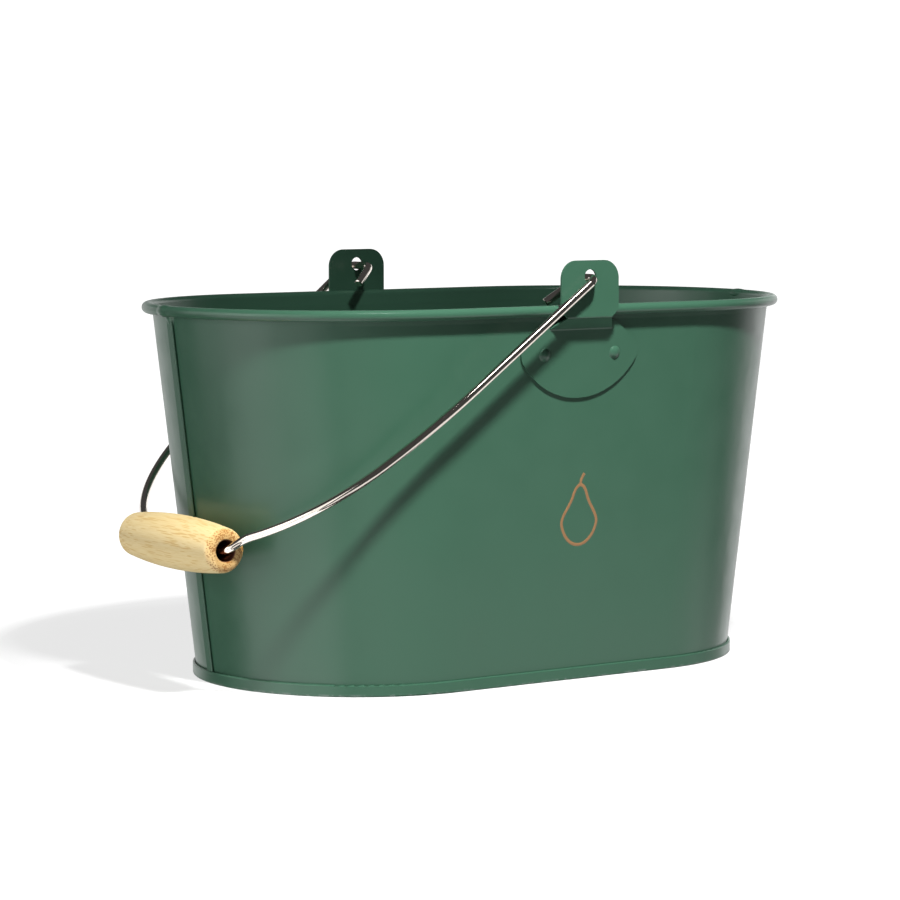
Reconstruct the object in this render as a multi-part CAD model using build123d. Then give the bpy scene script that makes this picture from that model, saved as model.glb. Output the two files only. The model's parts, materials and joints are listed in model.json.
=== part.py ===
from build123d import *
import math
import os

# An oval sheet-steel picking pail, in millimetres: X is the long way, +Z is up, and the origin is
# the middle of the foot, on the ground. The wall is two equal halves joined by a lock seam at each
# end. The base is double seamed to it, the rim is curled over a wire, and a wire bail with a turned
# wooden grip hangs in two riveted ears.

# Sheet
SHEET = 0.4
LAYER_GAP = 0.05
PITCH = SHEET + LAYER_GAP
NEAR = 0.01

# Rim: the curl's centre line is an oval of two straights and two half circles
RIM_Z = 185.0
RIM_STRAIGHT = 74.2
RIM_RADIUS = 99.4
CURL_RADIUS = 2.7
CURL_END_DEG = 236.0
RIM_WIRE_RADIUS = 2.1

# Wall, measured on its outer face
WALL_TOP_Z = 180.0
WALL_TOP_INSET = 3.0
WALL_FOOT_Z = 6.2

# Foot
FOOT_STRAIGHT = 65.1
CHIME_RADIUS = 85.7
CHIME_HEIGHT = 6.0
FLOOR_Z = 4.8
FLOOR_BEND = 1.2
CHIME_FOLD = 0.7
WALL_FOOT_RADIUS = CHIME_RADIUS - 3 * PITCH
HOOK_BEND_Z = 2 * PITCH + SHEET / 2
WALL_HOOK_DROP = 1.1
BASE_HOOK_RISE = 0.8

# Lock seam near each end of the oval: its turn from the long axis, then distances across it
SEAM_SKEW_DEG = 5.0
SEAM_EDGE = 4.4
SEAM_STEP = 2.5
SEAM_FOLD = 1.9
SEAM_TUCK = 1.4
SEAM_LAP = 1.0

# Ears
EAR_SHEET = 1.2
EAR_FACE_Y = 104.8
EAR_TOP_Z = 209.5
EAR_HALF_WIDTH = 17.4
EAR_CORNER = 9.0
EAR_BEND = 1.7
EAR_LAP = 2.5
EAR_NECK_RISE = 4.0
HOLE_Z = 201.6
HOLE_RADIUS = 3.5
JOG_TOP_Z = 181.4
JOG_FOOT_Z = 175.8
NECK_HALF_WIDTH = 13.4
JOG_HALF_WIDTH = 19.2
PLATE_RADIUS = 41.6
PLATE_FOOT_Z = 141.7
PLATE_CORNER = 9.0
SHOULDER_HALF_WIDTH = 20.6
SHOULDER_Z = 179.8
SHOULDER_FALL = 0.746

# Rivets
RIVET_X = 21.4
RIVET_Z = 163.5
SHANK_RADIUS = 1.65
RIVET_HOLE_RADIUS = 1.75
HEAD_RADIUS = 3.3
HEAD_HEIGHT = 1.5
TAIL_RADIUS = 3.0
TAIL_HEIGHT = 1.0

# Bail: one flat wire, drawn in its own plane (along the bail, across the pail)
WIRE_RADIUS = 2.1
AXIS_Z = 200.8
REST_DROP_DEG = 36.5
PIN_OUT = EAR_FACE_Y + 0.4
HOOK_RADIUS = 6.0
ARM_REACH = 86.42
ARM_BOW_LENGTH = 60.9
ARM_LEAN_DEG = 14.73
BOW_RADIUS = 91.3
BOW_DEG = 46.4
SHOULDER_RADIUS = 12.0
SHOULDER_DEG = 34.0
KNEE_RADIUS = 6.0
WIRE_END_CHAMFER = 0.4

# The bail's two sides are bent by hand and differ, so the grip sits a little towards the front:
# bend outside the ear, arm's first lean, then the pin through the ear and the tail's turn and length
FRONT_HOOK = {"bend": 4.2, "taper": 1.32, "pin": 4.2, "turn": 72.0, "tail": 17.3}
BACK_HOOK = {"bend": 6.6, "taper": 5.72, "pin": 10.5, "turn": 65.0, "tail": 13.0}

# Grip
GRIP_REACH = 215.0
GRIP_SIDE = -3.0
GRIP_LENGTH = 87.4
GRIP_RADIUS = 13.4
GRIP_END_RADIUS = 10.6
GRIP_BORE_RADIUS = 5.2
GRIP_END_ROUND = 3.6
GRIP_MOUTH_ROUND = 1.0

WALL_TOP_RADIUS = RIM_RADIUS - WALL_TOP_INSET
WALL_RISE = WALL_TOP_Z - WALL_FOOT_Z
SIDE_LEAN = math.atan((WALL_TOP_RADIUS - WALL_FOOT_RADIUS) / WALL_RISE)


def wall_radius(z):
    """Outer radius of the wall's round ends, which is also how far its flat sides stand from the middle."""
    return WALL_FOOT_RADIUS + (WALL_TOP_RADIUS - WALL_FOOT_RADIUS) * (z - WALL_FOOT_Z) / WALL_RISE


def side_plane(x, z):
    """A plane on the front wall's outer face, with its normal pointing out of the pail."""
    normal = (0, -math.cos(SIDE_LEAN), -math.sin(SIDE_LEAN))
    return Plane(origin=(x, -wall_radius(z), z), x_dir=(1, 0, 0), z_dir=normal)


def heading(degrees):
    """The unit vector that points at an angle, turned anticlockwise from x."""
    return Vector(math.cos(math.radians(degrees)), math.sin(math.radians(degrees)))


def half_oval(profile, straight, side, skew=0.0):
    """Carries a profile of (radius, height) round the back (side 1) or front (side -1) half of an oval.

    The skew turns the two places where the halves meet, clockwise from the long axis.
    """
    run = Plane(origin=(-side * straight, 0, 0), x_dir=(0, side, 0), z_dir=(side, 0, 0))
    solids = [extrude(run * profile, amount=2 * straight)]
    for end in (-1, 1):
        start = Plane(origin=(end * straight, 0, 0), x_dir=(0, side, 0), z_dir=(side, 0, 0))
        turn = Axis((end * straight, 0, 0), (0, 0, -side * end))
        solids.append(revolve(start * profile, axis=turn, revolution_arc=90 + side * end * skew))
    return solids[0] + solids[1] + solids[2]


def ribbon(path, thickness, side):
    """A strip of sheet whose one face is the path and whose other face lies to one side of it."""
    return make_face(offset(path, amount=thickness, side=side, closed=True))


# ---------------------------------------------------------------- wall


def seam_point(straight, reach, across, end):
    """A point at a round end, measured out along the seam's own line and across that line."""
    from_centre = Vector(end * reach, across).rotate(Axis.Z, -SEAM_SKEW_DEG)
    return Vector(end * straight, 0) + from_centre


def end_point(radius, straight, across, end):
    """A point on the round end of an oval, at a given distance across the seam's line."""
    return seam_point(straight, math.sqrt(radius**2 - across**2), across, end)


def end_arc(start, finish, radius, straight, end):
    """The arc of the round end between two of its points."""
    centre = Vector(end * straight, 0)
    middle = (start + finish) * 0.5 - centre
    return ThreePointArc(start, centre + middle.normalized() * radius, finish)


def wall_outline(straight, radius):
    """The front half wall's section: its right end laps over the seam and its left end tucks under it."""
    inner = radius - SHEET
    mitre = SHEET * math.tan(math.atan(3 * PITCH / (SEAM_EDGE - SEAM_STEP)) / 2)

    def right(across, height):
        return seam_point(straight, radius + height, across, 1)

    def left(across, height):
        return seam_point(straight, radius + height, -across, -1)

    lap_inner = [right(-SEAM_LAP, PITCH), right(SEAM_FOLD, PITCH)]
    lap_under = [right(SEAM_FOLD, 3 * PITCH - SHEET), right(mitre - SEAM_STEP, 3 * PITCH - SHEET)]
    inner_start = end_point(inner, straight, mitre - SEAM_EDGE, 1)
    inner_end = end_point(inner, straight, -SEAM_EDGE, -1)
    tuck_inner = left(-SEAM_TUCK, -SHEET)
    tuck_top = [left(-SEAM_TUCK, 2 * PITCH), left(SEAM_TUCK, 2 * PITCH)]
    tuck_under = [left(SEAM_TUCK, 2 * PITCH - SHEET), left(-SEAM_TUCK, 2 * PITCH - SHEET)]
    tuck_outer = left(-SEAM_TUCK, 0)
    outer_end = end_point(radius, straight, -SEAM_EDGE, -1)
    outer_start = end_point(radius, straight, -SEAM_EDGE, 1)
    lap_outer = [right(-SEAM_STEP, 3 * PITCH), right(SEAM_FOLD, 3 * PITCH)]
    lap_end = [right(SEAM_FOLD, PITCH - SHEET), right(-SEAM_LAP, PITCH - SHEET)]
    fold_inside = PITCH - SHEET / 2
    fold_outside = PITCH + SHEET / 2
    edges = [
        Line(*lap_inner),
        ThreePointArc(lap_inner[1], right(SEAM_FOLD + fold_inside, 2 * PITCH - SHEET / 2), lap_under[0]),
        Line(*lap_under),
        Line(lap_under[1], inner_start),
        end_arc(inner_start, Vector(straight, -inner), inner, straight, 1),
        Line((straight, -inner), (-straight, -inner)),
        end_arc(Vector(-straight, -inner), inner_end, inner, straight, -1),
        Line(inner_end, tuck_inner),
        ThreePointArc(tuck_inner, left(-SEAM_TUCK - fold_outside, PITCH - SHEET / 2), tuck_top[0]),
        Line(*tuck_top),
        Line(tuck_top[1], tuck_under[0]),
        Line(*tuck_under),
        ThreePointArc(tuck_under[1], left(-SEAM_TUCK - fold_inside, PITCH - SHEET / 2), tuck_outer),
        Line(tuck_outer, outer_end),
        end_arc(outer_end, Vector(-straight, -radius), radius, straight, -1),
        Line((-straight, -radius), (straight, -radius)),
        end_arc(Vector(straight, -radius), outer_start, radius, straight, 1),
        Line(outer_start, lap_outer[0]),
        Line(*lap_outer),
        ThreePointArc(lap_outer[1], right(SEAM_FOLD + fold_outside, 2 * PITCH - SHEET / 2), lap_end[0]),
        Line(*lap_end),
        Line(lap_end[1], lap_inner[0]),
    ]
    return make_face(Wire(edges))


def tangent_point(point, centre, radius):
    """Where the line that rises from a point left of a circle touches its left side."""
    away = centre - point
    lean = math.atan2(away.Y, away.X) + math.asin(radius / away.length)
    reach = math.sqrt(away.length**2 - radius**2)
    return point + Vector(math.cos(lean), math.sin(lean)) * reach


def rim_profile():
    """The wall's top edge, rolled out and down over the rim wire."""
    centre = Vector(RIM_RADIUS, RIM_Z)
    inner = CURL_RADIUS - SHEET
    foot_in = Vector(WALL_TOP_RADIUS - SHEET, WALL_TOP_Z)
    foot_out = Vector(WALL_TOP_RADIUS, WALL_TOP_Z)
    touch_in = tangent_point(foot_in, centre, CURL_RADIUS)
    touch_out = tangent_point(foot_out, centre, inner)
    halfway = heading((CURL_END_DEG - 180) / 2)
    end = heading(CURL_END_DEG)
    edges = [
        Line(foot_out, foot_in),
        Line(foot_in, touch_in),
        ThreePointArc(touch_in, centre + halfway * CURL_RADIUS, centre + end * CURL_RADIUS),
        Line(centre + end * CURL_RADIUS, centre + end * inner),
        ThreePointArc(centre + end * inner, centre + halfway * inner, touch_out),
        Line(touch_out, foot_out),
    ]
    return make_face(Wire(edges))


def wall_foot_profile():
    """The wall's bottom edge, turned out and up as the hook that the base's hook holds."""
    face = WALL_FOOT_RADIUS
    bend_start = (face - SHEET, HOOK_BEND_Z)
    bend_low = (face + PITCH - SHEET / 2, HOOK_BEND_Z - PITCH - SHEET / 2)
    bend_end = (face + 2 * PITCH, HOOK_BEND_Z)
    path = [
        Line((face - SHEET, WALL_FOOT_Z), bend_start),
        ThreePointArc(bend_start, bend_low, bend_end),
        Line(bend_end, (face + 2 * PITCH, CHIME_HEIGHT - WALL_HOOK_DROP)),
    ]
    return ribbon(Wire(path), SHEET, Side.LEFT)


def make_front_wall():
    bottom = wall_outline(FOOT_STRAIGHT, WALL_FOOT_RADIUS)
    top = wall_outline(RIM_STRAIGHT, WALL_TOP_RADIUS)
    body = loft([Pos(0, 0, WALL_FOOT_Z) * bottom, Pos(0, 0, WALL_TOP_Z) * top], ruled=True)
    rim = half_oval(rim_profile(), RIM_STRAIGHT, -1, SEAM_SKEW_DEG)
    foot = half_oval(wall_foot_profile(), FOOT_STRAIGHT, -1, SEAM_SKEW_DEG)
    wall = body + rim + foot
    for x in (-RIVET_X, RIVET_X):
        wall -= side_plane(x, RIVET_Z) * Cylinder(RIVET_HOLE_RADIUS, 4 * SHEET)
    return wall


# ---------------------------------------------------------------- base and rim wire


def base_profile():
    """The base from its middle out: floor, drop to the ground, and the hook over the wall's hook."""
    drop = WALL_FOOT_RADIUS - PITCH - SHEET
    hook = WALL_FOOT_RADIUS + PITCH - SHEET
    skin = WALL_FOOT_RADIUS + 3 * PITCH
    fold_z = CHIME_HEIGHT - PITCH - SHEET / 2
    path = [
        Line((0, FLOOR_Z), (drop - FLOOR_BEND, FLOOR_Z)),
        RadiusArc((drop - FLOOR_BEND, FLOOR_Z), (drop, FLOOR_Z - FLOOR_BEND), FLOOR_BEND),
        Line((drop, FLOOR_Z - FLOOR_BEND), (drop, CHIME_FOLD)),
        RadiusArc((drop, CHIME_FOLD), (drop + CHIME_FOLD, 0), -CHIME_FOLD),
        Line((drop + CHIME_FOLD, 0), (skin - CHIME_FOLD, 0)),
        RadiusArc((skin - CHIME_FOLD, 0), (skin, CHIME_FOLD), -CHIME_FOLD),
        Line((skin, CHIME_FOLD), (skin, fold_z)),
        ThreePointArc((skin, fold_z), (skin - PITCH - SHEET / 2, CHIME_HEIGHT), (hook, fold_z)),
        Line((hook, fold_z), (hook, HOOK_BEND_Z + BASE_HOOK_RISE)),
    ]
    return ribbon(Wire(path), SHEET, Side.LEFT)


def make_base():
    profile = base_profile()
    return half_oval(profile, FOOT_STRAIGHT, -1) + half_oval(profile, FOOT_STRAIGHT, 1)


def make_rim_wire():
    section = Pos(RIM_RADIUS, RIM_Z) * Circle(RIM_WIRE_RADIUS)
    return half_oval(section, RIM_STRAIGHT, -1) + half_oval(section, RIM_STRAIGHT, 1)


# ---------------------------------------------------------------- ears and rivets


def up_plate(z):
    """Distance of a height from the rivets' height, measured up the leaning plate."""
    return (z - RIVET_Z) / math.cos(SIDE_LEAN)


def ear_plate():
    """The part of the ear that lies on the wall: a round foot under two sloping shoulders."""
    fall = 3 * PLATE_RADIUS
    shoulder = up_plate(SHOULDER_Z)
    roof = [
        (-SHOULDER_HALF_WIDTH, shoulder),
        (SHOULDER_HALF_WIDTH, shoulder),
        (SHOULDER_HALF_WIDTH + fall, shoulder - SHOULDER_FALL * fall),
        (-SHOULDER_HALF_WIDTH - fall, shoulder - SHOULDER_FALL * fall),
    ]
    disc = Pos(0, up_plate(PLATE_FOOT_Z) + PLATE_RADIUS) * Circle(PLATE_RADIUS)
    shape = disc & make_face(Polyline(*roof, close=True))
    corners = shape.vertices().filter_by(lambda v: abs(v.X) > SHOULDER_HALF_WIDTH + PLATE_CORNER)
    shape = fillet(corners, PLATE_CORNER)
    slot = Pos(0, up_plate(JOG_FOOT_Z) + EAR_CORNER) * Rectangle(2 * JOG_HALF_WIDTH, 2 * EAR_CORNER)
    return side_plane(0, RIVET_Z) * extrude(shape - slot, amount=EAR_SHEET)


def ear_strip():
    """The ear's tab, stepped out past the rim, cut from bent sheet to the tab's front outline."""
    low_z = JOG_FOOT_Z - EAR_LAP
    neck_z = JOG_TOP_Z + EAR_NECK_RISE
    plate_face = EAR_SHEET / math.cos(SIDE_LEAN)
    path = FilletPolyline(
        (wall_radius(low_z) + plate_face, low_z),
        (wall_radius(JOG_FOOT_Z) + plate_face, JOG_FOOT_Z),
        (EAR_FACE_Y, JOG_TOP_Z),
        (EAR_FACE_Y, EAR_TOP_Z),
        radius=EAR_BEND,
    )
    section = ribbon(path, EAR_SHEET, Side.LEFT)
    profile_plane = Plane(origin=(-EAR_FACE_Y, 0, 0), x_dir=(0, -1, 0), z_dir=(-1, 0, 0))
    bent = extrude(profile_plane * section, amount=-2 * EAR_FACE_Y)
    tab = [
        (-NECK_HALF_WIDTH, JOG_TOP_Z),
        (-EAR_HALF_WIDTH, neck_z),
        (-EAR_HALF_WIDTH, EAR_TOP_Z),
        (EAR_HALF_WIDTH, EAR_TOP_Z),
        (EAR_HALF_WIDTH, neck_z),
        (NECK_HALF_WIDTH, JOG_TOP_Z),
        (JOG_HALF_WIDTH, JOG_FOOT_Z),
        (JOG_HALF_WIDTH, low_z),
        (-JOG_HALF_WIDTH, low_z),
        (-JOG_HALF_WIDTH, JOG_FOOT_Z),
    ]
    outline = make_face(Polyline(*tab, close=True))
    outline = fillet(outline.vertices().filter_by(lambda v: v.Y > EAR_TOP_Z - NEAR), EAR_CORNER)
    low_corners = outline.vertices().filter_by(lambda v: abs(v.Y - neck_z) < NEAR)
    outline = fillet(low_corners, EAR_CORNER / 2)
    outline -= Pos(0, HOLE_Z) * Circle(HOLE_RADIUS)
    return bent & extrude(Plane.XZ * outline, amount=2 * EAR_FACE_Y)


def make_front_ear():
    ear = ear_plate() + ear_strip()
    for x in (-RIVET_X, RIVET_X):
        ear -= side_plane(x, RIVET_Z) * Cylinder(RIVET_HOLE_RADIUS, 4 * EAR_SHEET)
    return ear


def make_front_rivet(x):
    """A rivet through ear and wall: a domed head outside and a flat formed head inside."""
    stack = EAR_SHEET + SHEET
    dome_radius = (HEAD_RADIUS**2 + HEAD_HEIGHT**2) / (2 * HEAD_HEIGHT)
    dome = Pos(0, 0, EAR_SHEET + HEAD_HEIGHT - dome_radius) * Sphere(dome_radius)
    above = Pos(0, 0, EAR_SHEET + HEAD_HEIGHT) * Cylinder(2 * HEAD_RADIUS, 2 * HEAD_HEIGHT)
    shank = Pos(0, 0, EAR_SHEET - stack / 2) * Cylinder(SHANK_RADIUS, stack)
    tail = Pos(0, 0, -SHEET - TAIL_HEIGHT / 2) * Cylinder(TAIL_RADIUS, TAIL_HEIGHT)
    tail = fillet(tail.edges().group_by(Axis.Z)[0], TAIL_HEIGHT / 2)
    return side_plane(x, RIVET_Z) * (shank + (dome & above) + tail)


# ---------------------------------------------------------------- bail and grip


def bail_plane():
    """The bail's own plane at rest: x runs along the bail and down to its grip, y runs across the pail."""
    drop = math.radians(REST_DROP_DEG)
    return Plane(
        origin=(0, 0, AXIS_Z),
        x_dir=(-math.cos(drop), 0, -math.sin(drop)),
        z_dir=(math.sin(drop), 0, -math.cos(drop)),
    )


def draw(edges, moves):
    """Adds runs (length, 0) and tangent bends (radius, turn) to a chain of edges."""
    for size, turn in moves:
        here = edges[-1] @ 1
        along = edges[-1] % 1
        if turn:
            edges.append(JernArc(here, along, size, turn))
        else:
            edges.append(Line(here, here + along * size))
    return edges


def half_bail(hook):
    """The bail's centre line from the tip of one hook to the middle of the grip."""
    turn_centre = Vector(HOOK_RADIUS, PIN_OUT - hook["pin"])
    hook_end = turn_centre + heading(180 + hook["turn"]) * HOOK_RADIUS
    tip = hook_end + heading(hook["turn"] - 90) * hook["tail"]
    taper = math.radians(hook["taper"])
    arm_length = (ARM_REACH - hook["bend"] * (1 + math.sin(taper))) / math.cos(taper)
    arm_bow_turn = ARM_LEAN_DEG - hook["taper"]
    edges = draw(
        [Line(tip, hook_end)],
        [
            (HOOK_RADIUS, -hook["turn"]),
            (hook["pin"], 0),
            (hook["bend"], -90 - hook["taper"]),
            (arm_length, 0),
            (ARM_BOW_LENGTH / math.radians(arm_bow_turn), -arm_bow_turn),
            (BOW_RADIUS, -BOW_DEG),
            (SHOULDER_RADIUS, SHOULDER_DEG),
        ],
    )
    along = edges[-1] % 1
    knee_turn = 90 - math.degrees(math.atan2(-along.Y, along.X))
    knee_reach = KNEE_RADIUS * (1 - math.cos(math.radians(knee_turn)))
    shoulder_run = (GRIP_REACH - knee_reach - (edges[-1] @ 1).X) / along.X
    draw(edges, [(shoulder_run, 0), (KNEE_RADIUS, -knee_turn)])
    return edges


def make_bail():
    back = Wire(half_bail(BACK_HOOK))
    front = Wire(half_bail(FRONT_HOOK)).mirror(Plane.XZ)
    across = Wire([Line(back @ 1, front @ 1)])
    path = Wire([*back.edges(), *across.edges(), *front.edges()])
    section = Plane(origin=path @ 0, z_dir=path % 0) * Circle(WIRE_RADIUS)
    wire = sweep(section, path=path)
    rings = wire.edges().filter_by(GeomType.CIRCLE)
    tips = rings.filter_by(lambda e: min((e.arc_center - tip).length for tip in (path @ 0, path @ 1)) < NEAR)
    return bail_plane() * chamfer(tips, WIRE_END_CHAMFER)


def make_grip():
    half = GRIP_LENGTH / 2
    outline = [
        Polyline(
            (GRIP_END_RADIUS, half),
            (GRIP_BORE_RADIUS, half),
            (GRIP_BORE_RADIUS, -half),
            (GRIP_END_RADIUS, -half),
        ),
        ThreePointArc((GRIP_END_RADIUS, -half), (GRIP_RADIUS, 0), (GRIP_END_RADIUS, half)),
    ]
    face = make_face(Wire([edge for part in outline for edge in part.edges()]))
    outer = face.vertices().filter_by(lambda v: v.X > (GRIP_BORE_RADIUS + GRIP_END_RADIUS) / 2)
    face = fillet(outer, GRIP_END_ROUND)
    mouth = face.vertices().filter_by(lambda v: abs(v.X - GRIP_BORE_RADIUS) < NEAR)
    face = fillet(mouth, GRIP_MOUTH_ROUND)
    turned = revolve(face, axis=Axis.Y)
    return bail_plane() * Pos(GRIP_REACH, GRIP_SIDE) * turned


def main():
    os.makedirs("parts", exist_ok=True)
    half_turn = Rot(0, 0, 180)
    wall = make_front_wall()
    ear = make_front_ear()
    parts = {
        "wall_front": wall,
        "wall_back": half_turn * wall,
        "base_pan": make_base(),
        "rim_wire": make_rim_wire(),
        "ear_front": ear,
        "ear_back": half_turn * ear,
        "bail_wire": make_bail(),
        "grip": make_grip(),
    }
    for name, x in (("left", -RIVET_X), ("right", RIVET_X)):
        parts[f"rivet_front_{name}"] = make_front_rivet(x)
        parts[f"rivet_back_{name}"] = half_turn * make_front_rivet(-x)
    for name, shape in parts.items():
        export_step(shape, f"parts/{name}.step")


main()
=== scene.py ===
import json
import math

import bpy
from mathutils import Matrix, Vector


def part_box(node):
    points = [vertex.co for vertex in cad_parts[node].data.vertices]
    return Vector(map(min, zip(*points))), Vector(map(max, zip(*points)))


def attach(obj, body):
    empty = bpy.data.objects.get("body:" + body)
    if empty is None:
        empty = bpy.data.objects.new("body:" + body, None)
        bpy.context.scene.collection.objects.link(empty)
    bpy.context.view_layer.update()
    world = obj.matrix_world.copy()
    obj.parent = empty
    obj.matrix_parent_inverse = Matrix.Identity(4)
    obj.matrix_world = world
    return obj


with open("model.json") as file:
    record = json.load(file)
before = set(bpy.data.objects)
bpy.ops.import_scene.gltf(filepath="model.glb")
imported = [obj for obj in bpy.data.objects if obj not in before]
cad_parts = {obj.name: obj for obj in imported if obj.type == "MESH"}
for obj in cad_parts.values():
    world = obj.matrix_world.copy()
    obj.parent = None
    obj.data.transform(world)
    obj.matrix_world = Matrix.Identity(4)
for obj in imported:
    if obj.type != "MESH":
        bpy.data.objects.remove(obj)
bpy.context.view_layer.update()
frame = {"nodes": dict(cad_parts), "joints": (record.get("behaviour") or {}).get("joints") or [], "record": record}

# An oval picking pail in painted sheet steel, seen from low in front of its left end. Everything is
# in metres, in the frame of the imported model: X along the pail, Y across it, Z up, and the origin
# under the middle of the foot.

NODES = frame["nodes"]
GRIP_AXIS = Vector(next(j["pos_m"] for j in frame["joints"] if j["name"] == "grip_spin"))

# The rim's bead, worked out from the wire inside it and the wall rolled over it
WIRE_LOW, WIRE_HIGH = (Vector(corner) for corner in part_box("rim_wire"))
RIM_WIRE_RADIUS = (WIRE_HIGH.z - WIRE_LOW.z) / 2
RIM_Z = (WIRE_HIGH.z + WIRE_LOW.z) / 2
RIM_RADIUS = WIRE_HIGH.y - RIM_WIRE_RADIUS
RIM_STRAIGHT = WIRE_HIGH.x - RIM_WIRE_RADIUS - RIM_RADIUS
BEAD_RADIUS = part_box("wall_front")[1][2] - RIM_Z

# Camera: which way it stands from the object, how far off, and what it is pointed at
VIEW_AZIMUTH_DEG = -34.707
VIEW_ELEVATION_DEG = 5.261
VIEW_DISTANCE = 1.72122
VIEW_SHIFT_RIGHT = -0.008862
VIEW_HEIGHT = 0.108652
LENS_MM = 133.43
SENSOR_MM = 36.0

# Light: one small key lamp above the front, and soft boxes round the middle of the object, each as
# (azimuth, elevation, distance, width, height, radiance). The glint box puts the key's bright line
# on the wire, because the lamp itself is kept out of glossy reflections. The low boxes and the
# floor box stand in for the light that a white floor throws up.
BOX_AIM = Vector((0, 0, 0.1))
KEY_PLACE = Vector((-0.157, -0.538, 0.872))
KEY_AIM = Vector((-0.03, -0.22, 0.02))
KEY_RADIUS = 0.045
KEY_CONE_DEG = 52.0
KEY_POWER = 104.0
SOFT_BOXES = {
    "left_box": (-70, 8, 1.4, 1.0, 1.0, 1.3),
    "far_left_box": (-92, 8, 1.4, 0.6, 1.0, 1.9),
    "back_left_box": (-115, 10, 1.4, 0.8, 1.0, 1.2),
    "backdrop_box": (176, 0, 1.8, 1.5, 1.2, 0.9),
    "far_back_box": (141, 0, 1.8, 0.8, 1.2, 0.9),
    "back_right_box": (115, 2, 1.4, 0.8, 1.0, 1.2),
    "right_box": (92, 8, 1.4, 0.6, 1.0, 0.8),
    "glint_box": (-16, 57, 1.0, 0.16, 0.16, 14.0),
    "low_front_box": (15, -30, 1.0, 2.4, 0.5, 1.0),
    "low_left_box": (-80, -30, 1.0, 1.2, 0.5, 1.7),
    "floor_box": (-75, -68, 0.7, 0.7, 0.5, 1.8),
    "low_right_box": (95, -30, 1.0, 1.2, 0.5, 0.8),
}
WORLD_GLOW = 0.06

# The studio floor glows pure white further out. Round the middle of the pail's shadow it glows less: a painted
# shade, darker than the even white, under the shadow the floor really catches.
FLOOR_RADIUS = 3.0
FLOOR_CURVE = 1.5
DOME_TOP = 6.0
FLOOR_RINGS = 6
FLOOR_SIDES = 96
CURVE_STEPS = 12
FLOOR_ALBEDO = 0.24
SHADE_MIDDLE = (0.0, 0.08, 0.0)
SHADE_REACH = 0.205
WHITE_REACH = 0.235
SHADE_GLOW = 0.735
WHITE_GLOW = 1.1

# End seams: how far round each sits, how proud its folded strip stands, and its spread head
SEAM_SKEW_DEG = 5.0
SEAM_PROUD = 0.00135
HEAD_DROP = 0.0068
HEAD_TOP_DROP = 0.0018
HEAD_HALF_WIDTH = 0.0026
HEAD_SPREAD = 0.0024
HEAD_BEDDING = 0.0004
HEAD_CLEARANCE = 0.0022
HEAD_ROWS = 12
HEAD_COLUMNS = 16
BESIDE_SEAM_DEG = 6.0
SWELL_HALF_LENGTH = 0.0075
SWELL_HEIGHT = 0.00035
SWELL_BEDDING = 0.00012
SWELL_ROWS = 24
SWELL_COLUMNS = 32

# Printed mark: a generic fruit outline on the front wall. The ink's profile is (side, height) across
# the line, as parts of half its width and of its height.
MARK_X = 0.005
MARK_Z = 0.083
MARK_WIDTH = 0.0225
MARK_HEIGHT = 0.0300
STEM_LEAN = 0.0022
STEM_GAP = 0.0006
STEM_LENGTH = 0.0050
STEM_STEPS = 10
MARK_POINTS = 96
INK_WIDTH = 0.0018
INK_HEIGHT = 0.00005
INK_PROFILE = ((-1.0, -1.0), (-0.8, 0.6), (0.0, 1.0), (0.8, 0.6), (1.0, -1.0))

# Colours, as linear red, green, blue and alpha
PAINT_DEEP = (0.0285, 0.0790, 0.0490, 1)
PAINT_LIGHT = (0.0315, 0.0865, 0.0540, 1)
PAINT_RUBBED = (0.115, 0.150, 0.130, 1)
NICKEL = (0.80, 0.73, 0.66, 1)
STEEL = (0.42, 0.41, 0.40, 1)
INK_DEEP = (0.190, 0.100, 0.042, 1)
INK_LIGHT = (0.225, 0.122, 0.056, 1)
BAMBOO_SIDE = (0.55, 0.420, 0.195, 1)
BAMBOO_SIDE_PALE = (0.64, 0.515, 0.275, 1)
BAMBOO_GRAIN = (0.53, 0.370, 0.145, 1)
BAMBOO_END = (0.37, 0.190, 0.046, 1)
BAMBOO_END_PALE = (0.62, 0.440, 0.200, 1)
BAMBOO_FIBRE = (0.47, 0.285, 0.080, 1)
BAMBOO_END_FIBRE = (0.27, 0.110, 0.022, 1)
# The bore's colour is painted shade: near-black inside the hole round the wire.
BAMBOO_BORE_SHADE = (0.085, 0.022, 0.010, 1)

# The paint's roughness. The denoiser takes paint smoother than this for a mirror and leaves specks.
PAINT_SMOOTH = 0.28
PAINT_ROUGH = 0.35

# Bamboo strips: how they are turned about the grip's axis, and each one's thickness and width
STRIP_TURN_DEG = 24.0
STRIP_THICK = 0.0068
STRIP_WIDE = 0.019


# ---------------------------------------------------------------- node helpers


def put(tree, socket, value):
    """Gives a socket a plain value, or links it to the socket that feeds it."""
    if isinstance(value, bpy.types.NodeSocket):
        tree.links.new(value, socket)
    else:
        socket.default_value = value


def add_node(tree, kind, inputs=None, **settings):
    """Adds a shader node. An input is a value, or the socket that feeds it."""
    made = tree.nodes.new("ShaderNode" + kind)
    for name, value in settings.items():
        setattr(made, name, value)
    for name, value in (inputs or {}).items():
        put(tree, made.inputs[name], value)
    return made


def new_material(name):
    """An empty node material with its output node."""
    material = bpy.data.materials.new(name)
    material.use_nodes = True
    tree = material.node_tree
    tree.nodes.clear()
    output = add_node(tree, "OutputMaterial")
    return material, tree, output


def finish_material(tree, output, **inputs):
    """Ends a material in one principled shader. Underscores in the names stand for spaces."""
    named = {name.replace("_", " "): value for name, value in inputs.items()}
    shader = add_node(tree, "BsdfPrincipled", named)
    tree.links.new(shader.outputs["BSDF"], output.inputs["Surface"])


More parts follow.
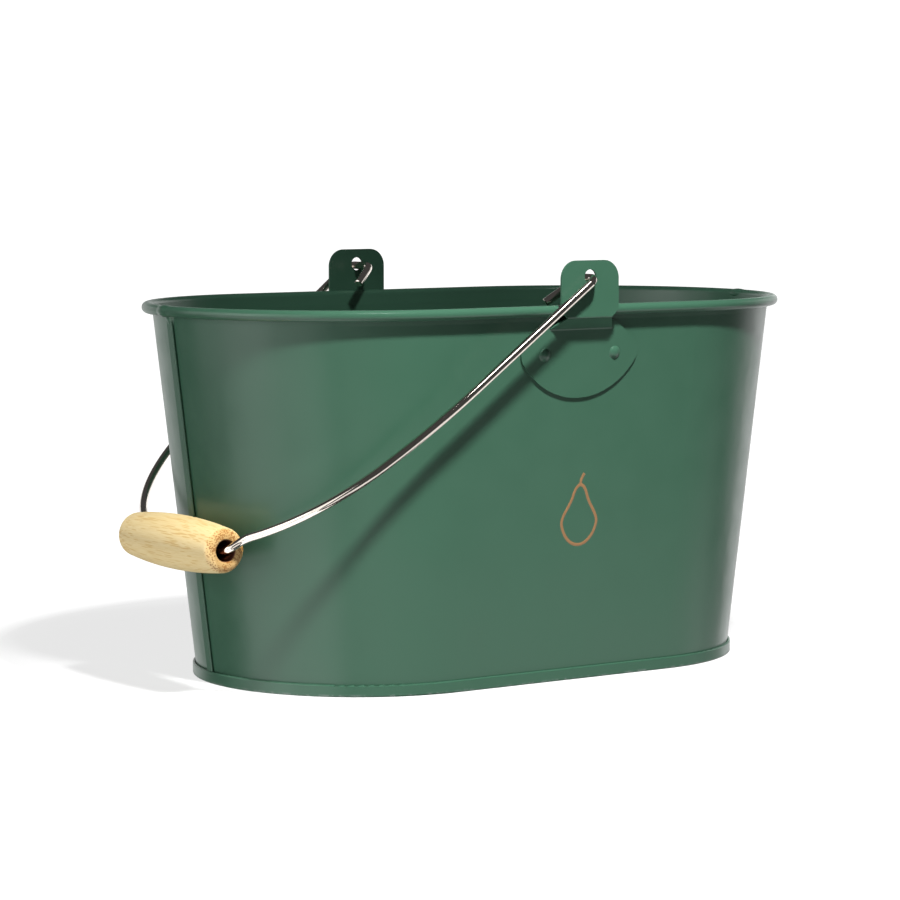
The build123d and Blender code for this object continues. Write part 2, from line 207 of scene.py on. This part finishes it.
def place(tree, scale=(1, 1, 1), location=(0, 0, 0), rotation=(0, 0, 0)):
    """Object coordinates, which are the frame's own metres, moved, then turned and scaled."""
    where = add_node(tree, "TexCoord")
    moved = vector_math(tree, "SUBTRACT", where.outputs["Object"], location)
    turned = add_node(tree, "Mapping", {"Vector": moved, "Rotation": rotation})
    return vector_math(tree, "MULTIPLY", turned.outputs["Vector"], scale)


def vector_math(tree, operation, a, b):
    made = add_node(tree, "VectorMath", operation=operation)
    put(tree, made.inputs[0], a)
    put(tree, made.inputs[1], b)
    return made.outputs["Vector"]


def number_math(tree, operation, a, b=0.0):
    made = add_node(tree, "Math", operation=operation)
    put(tree, made.inputs[0], a)
    put(tree, made.inputs[1], b)
    return made.outputs["Value"]


def squared(tree, value):
    return number_math(tree, "MULTIPLY", value, value)


def split(tree, vector):
    """The x, y and z sockets of a vector."""
    return add_node(tree, "SeparateXYZ", {"Vector": vector}).outputs


def noise(tree, vector, scale, detail=2.0, roughness=0.5):
    """Noise with about this many cells to a unit of the vector."""
    inputs = {"Vector": vector, "Scale": scale, "Detail": detail, "Roughness": roughness}
    return add_node(tree, "TexNoise", inputs).outputs["Fac"]


def cell_distance(tree, vector, scale):
    """Distance to the nearest of a scatter of points."""
    return add_node(tree, "TexVoronoi", {"Vector": vector, "Scale": scale}).outputs["Distance"]


def remap(tree, value, low, high, to_low=0.0, to_high=1.0):
    """Carries low..high to to_low..to_high, held at the ends."""
    inputs = {"Value": value, "From Min": low, "From Max": high, "To Min": to_low, "To Max": to_high}
    return add_node(tree, "MapRange", inputs).outputs["Result"]


def mix_colour(tree, factor, a, b):
    made = add_node(tree, "Mix", data_type="RGBA")
    for index, value in ((0, factor), (6, a), (7, b)):
        put(tree, made.inputs[index], value)
    return made.outputs[2]


def bump(tree, height, distance, normal=None):
    inputs = {"Height": height, "Distance": distance, "Strength": 1.0}
    if normal:
        inputs["Normal"] = normal
    return add_node(tree, "Bump", inputs).outputs["Normal"]


# ---------------------------------------------------------------- materials


def green_paint():
    """Powder coat: fine orange peel over slow waves in the sheet, uneven gloss, and a scuffed foot."""
    material, tree, output = new_material("green_paint")
    where = place(tree)
    waves = noise(tree, where, scale=12.0, detail=1.0)
    peel = noise(tree, where, scale=850.0, detail=2.0)
    mottle = noise(tree, where, scale=55.0, detail=4.0)
    shade = mix_colour(tree, mottle, PAINT_DEEP, PAINT_LIGHT)
    near_floor = remap(tree, split(tree, where)["Z"], 0.0004, 0.0016, 1.0, 0.0)
    wear = noise(tree, where, scale=320.0, detail=5.0, roughness=0.7)
    rubbed = remap(tree, wear, 0.50, 0.58)
    scuff = number_math(tree, "MULTIPLY", near_floor, rubbed)
    shade = mix_colour(tree, scuff, shade, PAINT_RUBBED)
    uneven = remap(tree, mottle, 0.3, 0.7, PAINT_SMOOTH, PAINT_ROUGH)
    dented = bump(tree, waves, distance=0.0011)
    peeled = bump(tree, peel, distance=0.000014, normal=dented)
    finish_material(
        tree,
        output,
        Base_Color=shade,
        Roughness=number_math(tree, "ADD", uneven, number_math(tree, "MULTIPLY", scuff, 0.3)),
        Normal=peeled,
    )
    return material


def dimmed(colour, factor):
    return tuple(channel * factor for channel in colour[:3]) + (1,)


def drawn_metal(name, colour, smooth, rough, streak_height):
    """Drawn wire: fine marks run along it, because they follow which way the surface faces."""
    material, tree, output = new_material(name)
    facing = add_node(tree, "TexCoord").outputs["Normal"]
    round_wire = vector_math(tree, "MULTIPLY", facing, (9.0, 9.0, 9.0))
    along_wire = place(tree, (34.0, 34.0, 34.0))
    streak_place = vector_math(tree, "ADD", round_wire, along_wire)
    streaks = noise(tree, streak_place, scale=1.6, detail=4.0, roughness=0.65)
    spots = noise(tree, place(tree), scale=650.0, detail=3.0)
    spotted = mix_colour(tree, remap(tree, spots, 0.55, 0.75), colour, dimmed(colour, 0.8))
    shade = mix_colour(tree, remap(tree, streaks, 0.45, 0.75), spotted, dimmed(colour, 0.9))
    finish_material(
        tree,
        output,
        Base_Color=shade,
        Metallic=1.0,
        Roughness=remap(tree, streaks, 0.3, 0.7, smooth, rough),
        Normal=bump(tree, streaks, streak_height),
    )
    return material


def stretched(tree, vector, along):
    """The vector with its Y scaled, so that what is drawn on it is drawn out along the fibres."""
    return vector_math(tree, "MULTIPLY", vector, (1.0, along, 1.0))


def strip_tone(tree, turned, x, z):
    """0 to 1, the same all over one glued strip, from a grid of strips with wavy joints."""
    wander = noise(tree, stretched(tree, turned, 0.4), scale=110.0, detail=2.0)
    bent = number_math(tree, "ADD", x, number_math(tree, "MULTIPLY", wander, 0.0008))
    layer = number_math(tree, "FLOOR", number_math(tree, "DIVIDE", bent, STRIP_THICK))
    row = number_math(tree, "FLOOR", number_math(tree, "DIVIDE", z, STRIP_WIDE))
    apart = number_math(tree, "MULTIPLY", layer, 3.7)
    strip = add_node(tree, "CombineXYZ", {"X": apart, "Z": row}).outputs["Vector"]
    return remap(tree, noise(tree, strip, scale=1.0, detail=0.0), 0.35, 0.65)


def bamboo_fibres(tree, turned, end_cut):
    """1 on a fibre and 0 beside it. The bundles are thicker in some places, and on the cut ends."""
    cells = cell_distance(tree, stretched(tree, turned, 0.045), scale=1250.0)
    density = noise(tree, stretched(tree, turned, 0.12), scale=260.0, detail=2.0)
    reach = remap(tree, density, 0.33, 0.68, 0.14, 0.46)
    reach = number_math(tree, "ADD", reach, number_math(tree, "MULTIPLY", end_cut, 0.14))
    return remap(tree, number_math(tree, "SUBTRACT", reach, cells), -0.05, 0.05)


def bamboo_colour(tree, tone, grain, fibre, end_cut):
    """Pale sides with tan dashes, and darker cut ends with brown dots."""
    side = mix_colour(tree, tone, BAMBOO_SIDE, BAMBOO_SIDE_PALE)
    side = mix_colour(tree, remap(tree, grain, 0.35, 0.7, 0.0, 0.45), side, BAMBOO_GRAIN)
    end = mix_colour(tree, tone, BAMBOO_END, BAMBOO_END_PALE)
    plain = mix_colour(tree, end_cut, side, end)
    dark = mix_colour(tree, end_cut, BAMBOO_FIBRE, BAMBOO_END_FIBRE)
    depth = number_math(tree, "MULTIPLY", fibre, remap(tree, end_cut, 0, 1, 0.65, 0.90))
    return mix_colour(tree, depth, plain, dark)


def bamboo(axis, bore_radius):
    """Turned from glued bamboo strips: fibres run along Y, and show as dots on the cut ends."""
    material, tree, output = new_material("bamboo")
    turned = place(tree, location=axis, rotation=(0, math.radians(STRIP_TURN_DEG), 0))
    x, z = (split(tree, turned)[name] for name in "XZ")
    facing = split(tree, add_node(tree, "TexCoord").outputs["Normal"])["Y"]
    end_cut = remap(tree, number_math(tree, "ABSOLUTE", facing), 0.32, 0.62)
    grain = noise(tree, stretched(tree, turned, 0.04), scale=1500.0, detail=3.0, roughness=0.6)
    fibre = bamboo_fibres(tree, turned, end_cut)
    shade = bamboo_colour(tree, strip_tone(tree, turned, x, z), grain, fibre, end_cut)
    from_axis = number_math(tree, "SQRT", number_math(tree, "ADD", squared(tree, x), squared(tree, z)))
    # Painted shade: the inside of the bore is coloured near-black, standing in for the shade in the hole.
    inside = remap(tree, from_axis, bore_radius + 0.0001, bore_radius + 0.0005, 1.0, 0.0)
    relief = number_math(tree, "SUBTRACT", grain, number_math(tree, "MULTIPLY", fibre, 0.5))
    finish_material(
        tree,
        output,
        Base_Color=mix_colour(tree, inside, shade, BAMBOO_BORE_SHADE),
        Roughness=remap(tree, grain, 0.3, 0.7, 0.46, 0.60),
        Normal=bump(tree, relief, distance=0.00006),
    )
    return material


def mark_ink():
    """Flat copper ink, printed a little unevenly."""
    material, tree, output = new_material("mark_ink")
    speckle = noise(tree, place(tree), scale=900.0, detail=3.0)
    shade = mix_colour(tree, speckle, INK_DEEP, INK_LIGHT)
    finish_material(
        tree,
        output,
        Base_Color=shade,
        Roughness=remap(tree, speckle, 0.3, 0.7, 0.38, 0.50),
        Normal=bump(tree, speckle, distance=0.00001),
    )
    return material


# ---------------------------------------------------------------- mesh helpers


def grid_mesh(name, rows, close_rows=False, close_columns=False):
    """A mesh from rows of points, each row joined to the next."""
    height, width = len(rows), len(rows[0])
    points = [point for row in rows for point in row]
    faces = []
    for i in range(height if close_rows else height - 1):
        for k in range(width if close_columns else width - 1):
            below, after = (i + 1) % height, (k + 1) % width
            faces.append((i * width + k, i * width + after, below * width + after, below * width + k))
    mesh = bpy.data.meshes.new(name)
    mesh.from_pydata(points, [], faces)
    mesh.shade_smooth()
    return mesh


def add_piece(name, mesh, material, body):
    """Puts a mesh in the scene as a piece that moves with a body."""
    piece = bpy.data.objects.new(name, mesh)
    bpy.context.scene.collection.objects.link(piece)
    mesh.materials.append(material)
    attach(piece, body)
    return piece


def outward(angle):
    return Vector((math.cos(angle), math.sin(angle), 0))


def lifted(z):
    return Vector((0, 0, z))


# ---------------------------------------------------------------- seams


def wall_reach(node, centre, angle, z):
    """How far the wall's outer face is from a round end's centre, at a height."""
    far = centre + outward(angle) * (2 * RIM_RADIUS) + lifted(z)
    spot = NODES[node].ray_cast(far, -outward(angle))[1]
    return math.hypot(spot.x - centre.x, spot.y - centre.y)


def seam_head_row(node, centre, angle, rise):
    """One row across the head, at a rise from 0 at its foot to 1 inside the bead."""
    low_z, high_z = RIM_Z - HEAD_DROP, RIM_Z - HEAD_TOP_DROP
    z = low_z + (high_z - low_z) * rise
    plain_angle = angle - math.radians(BESIDE_SEAM_DEG)
    wall = wall_reach(node, centre, plain_angle, min(z, RIM_Z - BEAD_RADIUS - HEAD_CLEARANCE))
    face = wall + SEAM_PROUD * (1 - rise) ** 0.5 + (RIM_RADIUS - wall) * rise**1.5
    half_width = HEAD_HALF_WIDTH + HEAD_SPREAD * rise**2
    bed = wall - HEAD_BEDDING
    across = Vector((-math.sin(angle), math.cos(angle), 0))
    row = []
    for k in range(HEAD_COLUMNS + 1):
        side = 2 * k / HEAD_COLUMNS - 1
        reach = bed + (face - bed) * (1 - side**4)
        row.append(centre + outward(angle) * reach + across * side * half_width + lifted(z))
    return row


def seam_head(node, centre, angle):
    """The top of an end seam, where its folded strip spreads into the underside of the bead."""
    return [seam_head_row(node, centre, angle, i / HEAD_ROWS) for i in range(HEAD_ROWS + 1)]


def bead_swell(centre, angle):
    """A ring that thickens the bead over a seam and fades into it at both ends."""
    rows = []
    for i in range(SWELL_ROWS + 1):
        step = 2 * i / SWELL_ROWS - 1
        turn = angle + step * SWELL_HALF_LENGTH / RIM_RADIUS
        fade = math.cos(step * math.pi / 2) ** 2
        radius = BEAD_RADIUS - SWELL_BEDDING + (SWELL_HEIGHT + SWELL_BEDDING) * fade
        row = []
        for k in range(SWELL_COLUMNS):
            around = 2 * math.pi * k / SWELL_COLUMNS
            reach = RIM_RADIUS + radius * math.cos(around)
            row.append(centre + outward(turn) * reach + lifted(RIM_Z + radius * math.sin(around)))
        rows.append(row)
    return rows


def make_seam_ends(paint):
    """Both end seams' heads and the swelling they make in the bead."""
    for side, end, facing_deg, node in (("left", -1, 180, "wall_back"), ("right", 1, 0, "wall_front")):
        centre = Vector((end * RIM_STRAIGHT, 0, 0))
        angle = math.radians(facing_deg - SEAM_SKEW_DEG)
        head = grid_mesh(f"seam_head_{side}", seam_head(node, centre, angle))
        add_piece(f"seam_head_{side}", head, paint, "pail")
        swell = grid_mesh(f"bead_swell_{side}", bead_swell(centre, angle), close_columns=True)
        add_piece(f"bead_swell_{side}", swell, paint, "pail")


# ---------------------------------------------------------------- printed mark


def pear_outline(width, height, count):
    """A plain pear shape as (right, up) points round its middle."""
    points = []
    for i in range(count):
        turn = 2 * math.pi * i / count
        up = -math.cos(turn)
        neck = min(max(up + 0.35, 0.0), 1.0)
        waist = 1 - 0.50 * neck * neck * (3 - 2 * neck)
        points.append((math.sin(turn) * waist * width / 2, up * height / 2))
    return points


def ink_row(point, along):
    """The points across the ink's line: sunk at both edges, so that it meets the paint."""
    row = []
    for side, height in INK_PROFILE:
        x = point[0] - along.y * side * INK_WIDTH / 2
        z = point[1] + along.x * side * INK_WIDTH / 2
        spot, normal = NODES["wall_front"].ray_cast((x, -2 * RIM_RADIUS, z), (0, 1, 0))[1:3]
        row.append(spot + normal * height * INK_HEIGHT)
    return row


def printed_line(name, line, closed, material):
    """A thin raised line of ink on the front wall, along (x, z) points."""
    rows = []
    count = len(line)
    for i in range(count):
        before = line[i - 1] if closed or i else line[i]
        after = line[(i + 1) % count] if closed or i < count - 1 else line[i]
        along = Vector((after[0] - before[0], after[1] - before[1])).normalized()
        rows.append(ink_row(line[i], along))
    add_piece(name, grid_mesh(name, rows, close_rows=closed), material, "pail")


def make_mark():
    """A generic fruit outline with a stem, on the front of the pail."""
    ink = mark_ink()
    outline = pear_outline(MARK_WIDTH, MARK_HEIGHT, MARK_POINTS)
    pear = [(MARK_X + right, MARK_Z + up) for right, up in outline]
    printed_line("mark_fruit", pear, True, ink)
    foot = MARK_Z + MARK_HEIGHT / 2 + STEM_GAP
    steps = [i / STEM_STEPS for i in range(STEM_STEPS + 1)]
    stem = [(MARK_X + STEM_LEAN * step**2, foot + STEM_LENGTH * step) for step in steps]
    printed_line("mark_stem", stem, False, ink)


# ---------------------------------------------------------------- stage, light and camera


def direction(azimuth_deg, elevation_deg):
    """The unit vector towards a place round the object. Azimuth 0 is in front, at -Y, and 90 at +X."""
    azimuth = math.radians(azimuth_deg)
    elevation = math.radians(elevation_deg)
    level = math.cos(elevation)
    return Vector((math.sin(azimuth) * level, -math.cos(azimuth) * level, math.sin(elevation)))


def quarter_turn(steps):
    """The angles of a quarter turn, without its start."""
    return [math.radians(90 * i / steps) for i in range(1, steps + 1)]


def stage_mesh():
    """A level floor that curves up into a dome all round."""
    reach = FLOOR_RADIUS + FLOOR_CURVE
    profile = [(FLOOR_RADIUS * i / FLOOR_RINGS, 0.0) for i in range(FLOOR_RINGS + 1)]
    for turn in quarter_turn(CURVE_STEPS):
        profile.append((FLOOR_RADIUS + FLOOR_CURVE * math.sin(turn), FLOOR_CURVE * (1 - math.cos(turn))))
    for turn in quarter_turn(CURVE_STEPS):
        profile.append((reach * math.cos(turn), FLOOR_CURVE + (DOME_TOP - FLOOR_CURVE) * math.sin(turn)))
    round_floor = [outward(2 * math.pi * k / FLOOR_SIDES) for k in range(FLOOR_SIDES)]
    rows = [[way * radius + lifted(height) for way in round_floor] for radius, height in profile]
    return grid_mesh("studio_floor", rows, close_columns=True)


def studio_white_with_painted_shade():
    """Matte white that also glows, with a painted shade: the glow is dimmer in a disc where the pail's shadow
    falls.
    """
    material, tree, output = new_material("studio_white_with_painted_shade")
    matte = add_node(tree, "BsdfDiffuse", {"Color": (FLOOR_ALBEDO, FLOOR_ALBEDO, FLOOR_ALBEDO, 1)})
    from_shade = place(tree, location=SHADE_MIDDLE)
    reach = add_node(tree, "VectorMath", {0: from_shade}, operation="LENGTH").outputs["Value"]
    # Painted shade: the glow is SHADE_GLOW inside SHADE_REACH of the shadow's middle, and rises to WHITE_GLOW
    # beyond.
    glow = remap(tree, reach, SHADE_REACH, WHITE_REACH, SHADE_GLOW, WHITE_GLOW)
    light = add_node(tree, "Emission", {"Color": (1, 1, 1, 1), "Strength": glow})
    both = add_node(tree, "AddShader", {0: matte.outputs[0], 1: light.outputs[0]})
    tree.links.new(both.outputs[0], output.inputs["Surface"])
    return material


def make_stage():
    """The studio floor. Only the camera sees it, and the soft boxes stand in for its glow."""
    mesh = stage_mesh()
    mesh.materials.append(studio_white_with_painted_shade())
    floor = bpy.data.objects.new("studio_floor", mesh)
    bpy.context.scene.collection.objects.link(floor)
    floor.visible_diffuse = False
    floor.visible_glossy = False
    floor.visible_transmission = False
    floor.visible_shadow = False


def add_lamp(light, location, aim):
    """Puts a light in the scene, pointed at a place and out of the camera's sight."""
    lamp = bpy.data.objects.new(light.name, light)
    lamp.location = location
    lamp.rotation_euler = (aim - location).to_track_quat("-Z", "Y").to_euler()
    lamp.visible_camera = False
    bpy.context.scene.collection.objects.link(lamp)
    return lamp


def soft_box(name, azimuth, elevation, distance, width, height, radiance):
    """A soft box of even brightness that faces the middle of the object."""
    light = bpy.data.lights.new(name, "AREA")
    light.shape = "RECTANGLE"
    light.size = width
    light.size_y = height
    light.energy = radiance * math.pi * width * height
    add_lamp(light, BOX_AIM + direction(azimuth, elevation) * distance, BOX_AIM)


def make_lights():
    """The key lamp, the soft boxes and a dim even glow from all round."""
    key = bpy.data.lights.new("key", "SPOT")
    key.energy = KEY_POWER
    key.shadow_soft_size = KEY_RADIUS
    key.spot_size = math.radians(KEY_CONE_DEG)
    key.spot_blend = 1.0
    lamp = add_lamp(key, KEY_PLACE, KEY_AIM)
    lamp.visible_glossy = False
    for name, settings in SOFT_BOXES.items():
        soft_box(name, *settings)
    world = bpy.data.worlds.new("studio")
    bpy.context.scene.world = world
    world.use_nodes = True
    glow = world.node_tree.nodes["Background"].inputs
    glow["Color"].default_value = (1, 1, 1, 1)
    glow["Strength"].default_value = WORLD_GLOW


def make_camera():
    """A camera at the viewing angle, with no roll, and plain colours with no film curve."""
    data = bpy.data.cameras.new("camera")
    data.lens = LENS_MM
    data.sensor_width = SENSOR_MM
    camera = bpy.data.objects.new("camera", data)
    bpy.context.scene.collection.objects.link(camera)
    back = direction(VIEW_AZIMUTH_DEG, VIEW_ELEVATION_DEG)
    azimuth = math.radians(VIEW_AZIMUTH_DEG)
    right = Vector((math.cos(azimuth), math.sin(azimuth), 0))
    target = right * VIEW_SHIFT_RIGHT + Vector((0, 0, VIEW_HEIGHT))
    camera.location = target + back * VIEW_DISTANCE
    camera.rotation_euler = back.to_track_quat("Z", "Y").to_euler()
    bpy.context.scene.camera = camera
    bpy.context.scene.view_settings.view_transform = "Standard"


def make_materials():
    """Each material slot's material, by the slot's name."""
    corners = NODES["grip"].data.vertices
    bore_radius = min(math.hypot(v.co.x - GRIP_AXIS.x, v.co.z - GRIP_AXIS.z) for v in corners)
    return {
        "green_paint": green_paint(),
        "nickel_wire": drawn_metal("nickel_wire", NICKEL, smooth=0.06, rough=0.12, streak_height=0.000002),
        "steel_wire": drawn_metal("steel_wire", STEEL, smooth=0.30, rough=0.45, streak_height=0.00003),
        "bamboo": bamboo(GRIP_AXIS, bore_radius),
    }


def main():
    materials = make_materials()
    for part in frame["record"]["subparts"]:
        NODES[part["node"]].data.materials[0] = materials[part["material_slot"]]
    make_seam_ends(materials["green_paint"])
    make_mark()
    make_stage()
    make_lights()
    make_camera()


main()
